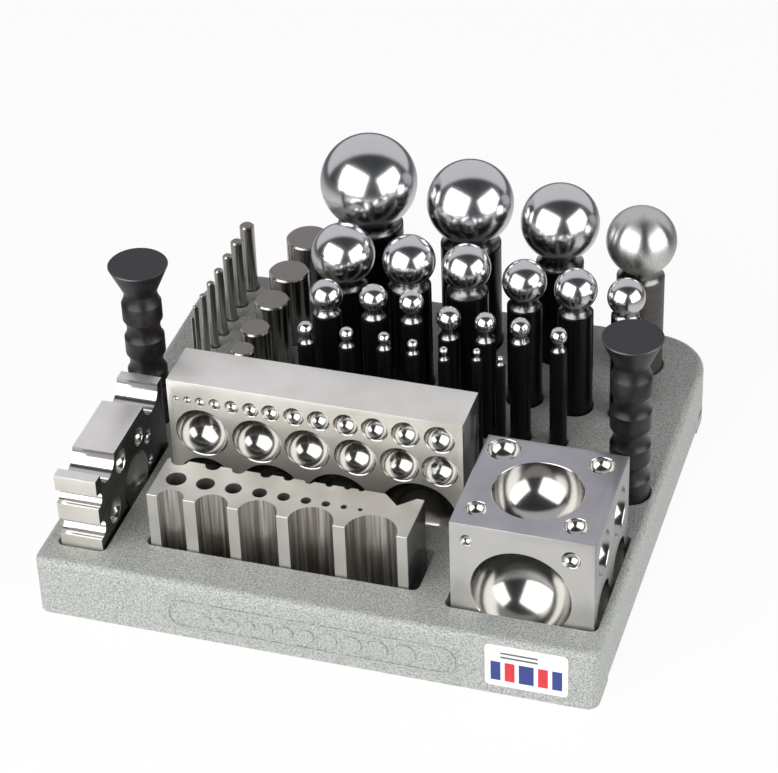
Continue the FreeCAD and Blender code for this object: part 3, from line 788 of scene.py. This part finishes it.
ball_mirror = polished_steel("mirror_ball", (0.72, 0.72, 0.73, 1), 0.19)
# The cones of the large punches are painted darker: painted shade under the ball.
cone_painted_shade = polished_steel("painted_shade_cone", (0.20, 0.20, 0.195, 1), 0.26)
cone_bright = polished_steel("bright_cone", (0.32, 0.32, 0.305, 1), 0.22)
shank_black = blackened_steel()
for ball_size, shank_size, cone_height in punches:
    node = "ball_punch_" + size_words(ball_size)
    low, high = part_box(node)
    ball = ball_size / 2 * MM
    shank = shank_size / 2 * MM
    ratio = 0.7 if ball_size < 8.5 else 0.6
    neck = min(ball * ratio, shank - 1.5 * shank_edge)
    centre = high.z - ball
    contact = centre - math.sqrt(ball ** 2 - neck ** 2)
    shoulder = contact - cone_height * MM
    outline = [(0, low.z), (shank - shank_edge, low.z), (shank, low.z + shank_edge),
               (shank, shoulder - shank_edge), (shank - shank_edge, shoulder)]
    for step in range(1, cone_steps):
        share = step / cone_steps
        sag = cone_sag * cone_height * MM * math.sin(math.pi * share)
        outline.append((shank - shank_edge + (neck - shank + shank_edge) * share - sag,
                        shoulder + (contact - shoulder) * share))
    start = math.asin(neck / ball)
    outline += sweep(centre, ball, start, math.pi, 44 if ball_size > 12 else 30)
    punch = turn_on_lathe("punch_" + size_words(ball_size), outline, 128 if ball_size > 30 else 96)
    worn = ball_size == brushed_size
    punch.data.materials.append(worn_shank() if worn else shank_black)
    punch.data.materials.append(cone_painted_shade if ball_size > 20 else cone_bright)
    punch.data.materials.append(brushed_ball() if worn else ball_mirror)
    for face in punch.data.polygons:
        if face.center.z > contact:
            face.material_index = 2
        elif face.center.z > shoulder:
            face.material_index = 1
    stand_in(punch, node)

# Flared tools. Two black handles for the larger punches, turned and blackened satin: a wide flat
# head to strike, a narrow neck, and a grip of plain lands parted by round waists.
head_radius = 15.3 * MM
head_edge = 0.5 * MM
neck_radius = 8.4 * MM
land_radius = 10.3 * MM
waist_radius = 8.6 * MM
land_height = 9.5 * MM
base_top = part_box("base_socket_plate")[1].z
land_tops = [base_top + height * MM for height in (71.5, 51.0, 30.8, 10.4)]
neck_height = base_top + 78 * MM


def through_points(start, middle, end, steps):
    """Points of the round stretch of an outline that passes through three points."""
    (ax, az), (bx, bz), (cx, cz) = start, middle, end
    scale = 2 * (ax * (bz - cz) + bx * (cz - az) + cx * (az - bz))
    centre_x = ((ax ** 2 + az ** 2) * (bz - cz) + (bx ** 2 + bz ** 2) * (cz - az)
                + (cx ** 2 + cz ** 2) * (az - bz)) / scale
    centre_z = ((ax ** 2 + az ** 2) * (cx - bx) + (bx ** 2 + bz ** 2) * (ax - cx)
                + (cx ** 2 + cz ** 2) * (bx - ax)) / scale
    radius = math.hypot(ax - centre_x, az - centre_z)
    first = math.atan2(az - centre_z, ax - centre_x) % (2 * math.pi)
    last = math.atan2(cz - centre_z, cx - centre_x) % (2 * math.pi)
    turns = [first + (last - first) * step / steps for step in range(1, steps + 1)]
    return [(centre_x + radius * math.cos(turn), centre_z + radius * math.sin(turn))
            for turn in turns]


def black_satin():
    """Chemically blackened steel, satin, with turning marks and a brown cast where it is handled."""
    finish, tree, shader = new_finish("black_satin", (0.006, 0.006, 0.007, 1), 0.0, 0.36)
    wear = noise(tree, 9 * MM, 2.0)
    tree.links.new(ramp(tree, wear, 0.35, 0.7, (0.004, 0.004, 0.005, 1), (0.020, 0.016, 0.018, 1)),
                   shader.inputs["Base Color"])
    shader.inputs["Specular IOR Level"].default_value = 0.42
    bump(tree, shader, noise(tree, 0.4 * MM, 2.0, (60, 60, 1)), 0.008 * MM, 0.5)
    return finish


def struck_head():
    """The head's face: flatter and more purple than the grip, with a fine facing grain."""
    finish, tree, shader = new_finish("struck_head", (0.026, 0.025, 0.030, 1), 0.0, 0.60)
    bump(tree, shader, noise(tree, 0.4 * MM, 2.0), 0.008 * MM, 0.5)
    return finish


grip_black = black_satin()
head_black = struck_head()
rim_bright = polished_steel("worn_rim", (0.12, 0.12, 0.125, 1), 0.38)
for side in ("left", "right"):
    node = "flared_tool_" + side
    low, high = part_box(node)
    outline = [(0, low.z), (land_radius - MM, low.z), (land_radius, low.z + MM),
               (land_radius, land_tops[-1])]
    for lower_top, upper_top in zip(land_tops[::-1], land_tops[-2::-1]):
        land_bottom = upper_top - land_height
        outline += through_points((land_radius, land_bottom),
                                  (waist_radius, (lower_top + land_bottom) / 2),
                                  (land_radius, lower_top), 14)[-2::-1]
        outline.append((land_radius, land_bottom))
        outline.append((land_radius, upper_top))
    shoulder = (neck_radius + 0.3 * MM, (land_tops[0] + 2 * neck_height) / 3)
    outline += through_points((neck_radius, neck_height), shoulder,
                              (land_radius, land_tops[0]), 12)[-2::-1]
    outline += [(neck_radius, neck_height), (head_radius, high.z - head_edge),
                (head_radius - head_edge, high.z), (0, high.z)]
    tool = turn_on_lathe("handle_" + side, outline, 96)
    for finish in (grip_black, head_black, rim_bright):
        tool.data.materials.append(finish)
    for face in tool.data.polygons:
        if face.center.z > high.z - 0.01 * MM:
            face.material_index = 1
        elif face.center.z > high.z - head_edge:
            face.material_index = 2
    stand_in(tool, node)
